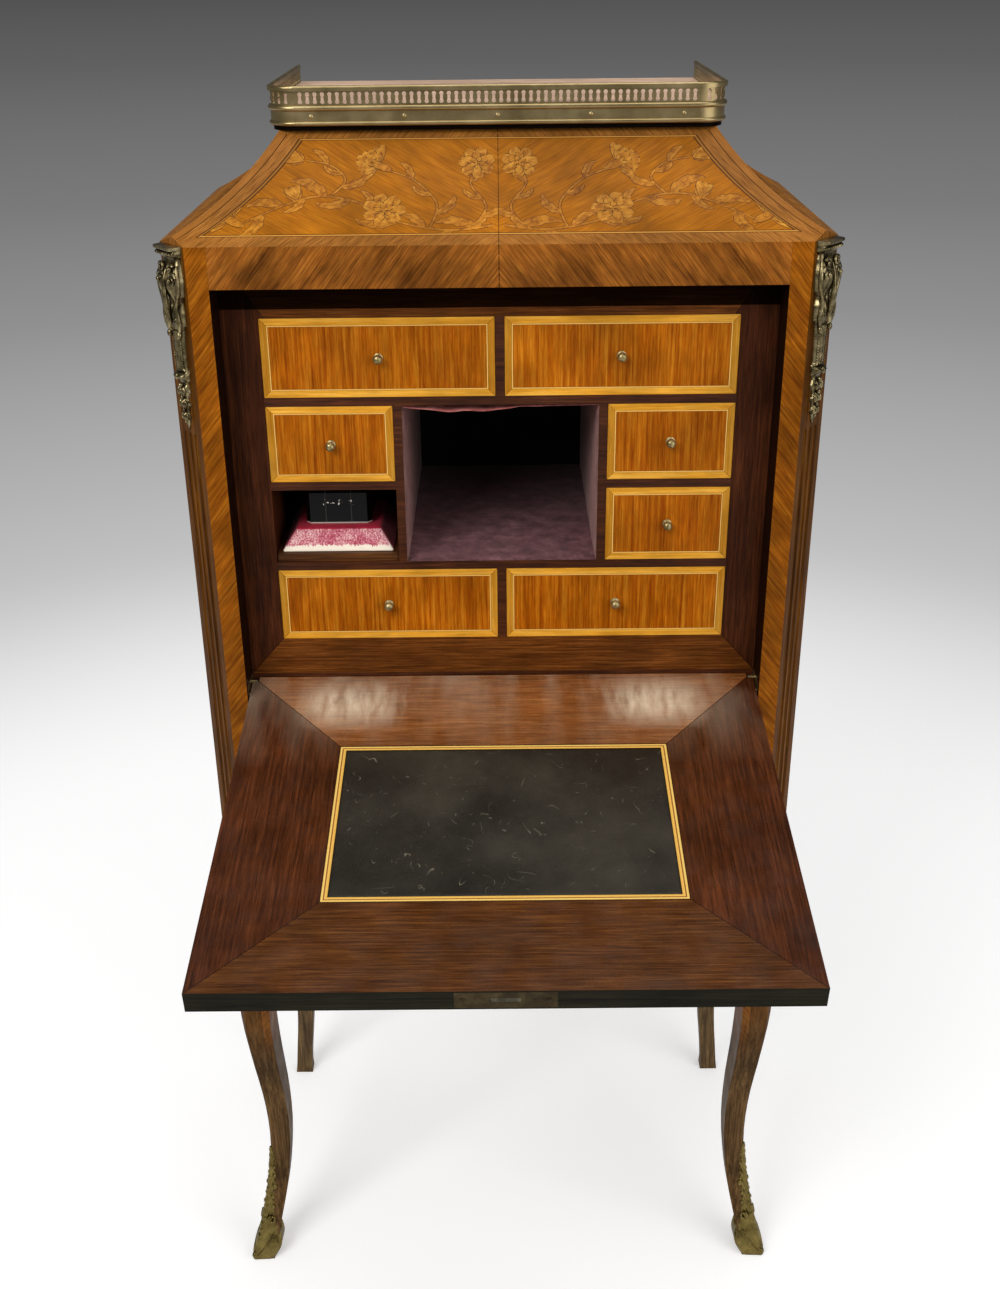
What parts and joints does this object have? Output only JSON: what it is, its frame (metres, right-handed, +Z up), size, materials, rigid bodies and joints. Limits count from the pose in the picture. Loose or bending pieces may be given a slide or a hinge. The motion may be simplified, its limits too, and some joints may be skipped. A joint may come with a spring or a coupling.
{
  "type": "fall-front escritoire",
  "caption": "Writing cabinet on four shaped legs: a hinged fall opens on small drawers, a velvet-lined compartment and an ink stand, under a coved top with a pierced brass gallery.",
  "frame": {"origin": "on the floor, under the middle of the whole piece with its fall let down", "axes": "+X to the viewer's right, +Y to the back, +Z up"},
  "size_m": [0.6272, 0.7258, 1.3193],
  "materials": {
    "kingwood": "French polished veneer, diagonal grain",
    "rosewood": "French polished dark veneer",
    "ebonised_wood": "blackened edge",
    "tulipwood": "polished veneer, straight grain with lighter banding",
    "oak": "plain planed wood",
    "satinwood": "polished light stringing",
    "gilt_bronze": "aged, darkened gilding",
    "brass": "worn polish",
    "steel": "plain",
    "crimson_velvet": "pile",
    "mauve_velvet": "worn pile",
    "black_leather": "worn skiver",
    "cut_glass": "clear, cut corners"
  },
  "bodies": {
    "carcase": {"post_front_left": "kingwood", "post_front_right": "kingwood", "leg_back_left": "kingwood", "leg_back_right": "kingwood", "side_left": "kingwood", "side_right": "kingwood", "back_panel": "oak", "frieze_rail": "kingwood", "lower_rail": "kingwood", "apron": "kingwood", "bottom_board": "oak", "dust_board": "oak", "case_top": "oak", "drawer_guides": "oak", "cove_front": "kingwood", "cove_left": "kingwood", "cove_right": "kingwood", "top_board": "tulipwood", "gallery_band": "brass", "gallery_fret": "brass", "gallery_rail": "brass", "gallery_screws": "brass", "corner_mounts": "gilt_bronze", "sabots": "gilt_bronze", "inner_frame": "rosewood", "nest_boards": "rosewood", "nest_dividers": "rosewood", "velvet_lining": "mauve_velvet", "pivot_plates": "brass", "strike_plate": "brass"},
    "fall": {"fall_board": "ebonised_wood", "fall_border": "rosewood", "fall_face": "kingwood", "fall_leather": "black_leather", "fall_stringing": "satinwood", "fall_pivots": "brass", "lock_body": "brass", "escutcheon": "gilt_bronze"},
    "bolt": {"lock_bolt": "steel"},
    "ink_stand": {"ink_tray": "rosewood", "ink_plinth": "crimson_velvet", "inkwell": "cut_glass"},
    "drawer_top_left": {"drawer_top_left": "tulipwood", "knob_top_left": "brass"},
    "drawer_top_right": {"drawer_top_right": "tulipwood", "knob_top_right": "brass"},
    "drawer_mid_left": {"drawer_mid_left": "tulipwood", "knob_mid_left": "brass"},
    "drawer_mid_right": {"drawer_mid_right": "tulipwood", "knob_mid_right": "brass"},
    "drawer_low_right": {"drawer_low_right": "tulipwood", "knob_low_right": "brass"},
    "drawer_foot_left": {"drawer_foot_left": "tulipwood", "knob_foot_left": "brass"},
    "drawer_foot_right": {"drawer_foot_right": "tulipwood", "knob_foot_right": "brass"},
    "long_drawer": {"long_drawer": "kingwood", "long_drawer_knobs": "brass"}
  },
  "joints": [
    {"name": "fall_hinge", "type": "hinge", "parent": "carcase", "child": "fall", "pos_m": [0, 0.03688, 0.7572], "axis": [1, 0, 0], "range_deg": [-98.6, 0]},
    {"name": "bolt_slide", "type": "slide", "parent": "fall", "child": "bolt", "axis": [0, -0.9888, -0.1495], "range_m": [0, 0.007]},
    {"name": "drawer_top_left_slide", "type": "slide", "parent": "carcase", "child": "drawer_top_left", "axis": [0, -1, 0], "range_m": [0, 0.2]},
    {"name": "drawer_top_right_slide", "type": "slide", "parent": "carcase", "child": "drawer_top_right", "axis": [0, -1, 0], "range_m": [0, 0.2]},
    {"name": "drawer_mid_left_slide", "type": "slide", "parent": "carcase", "child": "drawer_mid_left", "axis": [0, -1, 0], "range_m": [0, 0.2]},
    {"name": "drawer_mid_right_slide", "type": "slide", "parent": "carcase", "child": "drawer_mid_right", "axis": [0, -1, 0], "range_m": [0, 0.2]},
    {"name": "drawer_low_right_slide", "type": "slide", "parent": "carcase", "child": "drawer_low_right", "axis": [0, -1, 0], "range_m": [0, 0.2]},
    {"name": "drawer_foot_left_slide", "type": "slide", "parent": "carcase", "child": "drawer_foot_left", "axis": [0, -1, 0], "range_m": [0, 0.2]},
    {"name": "drawer_foot_right_slide", "type": "slide", "parent": "carcase", "child": "drawer_foot_right", "axis": [0, -1, 0], "range_m": [0, 0.2]},
    {"name": "long_drawer_slide", "type": "slide", "parent": "carcase", "child": "long_drawer", "axis": [0, -1, 0], "range_m": [0, 0.22]},
    {"name": "ink_stand_slide", "type": "slide", "parent": "carcase", "child": "ink_stand", "axis": [0, -1, 0], "range_m": [0, 0.12]}
  ]
}
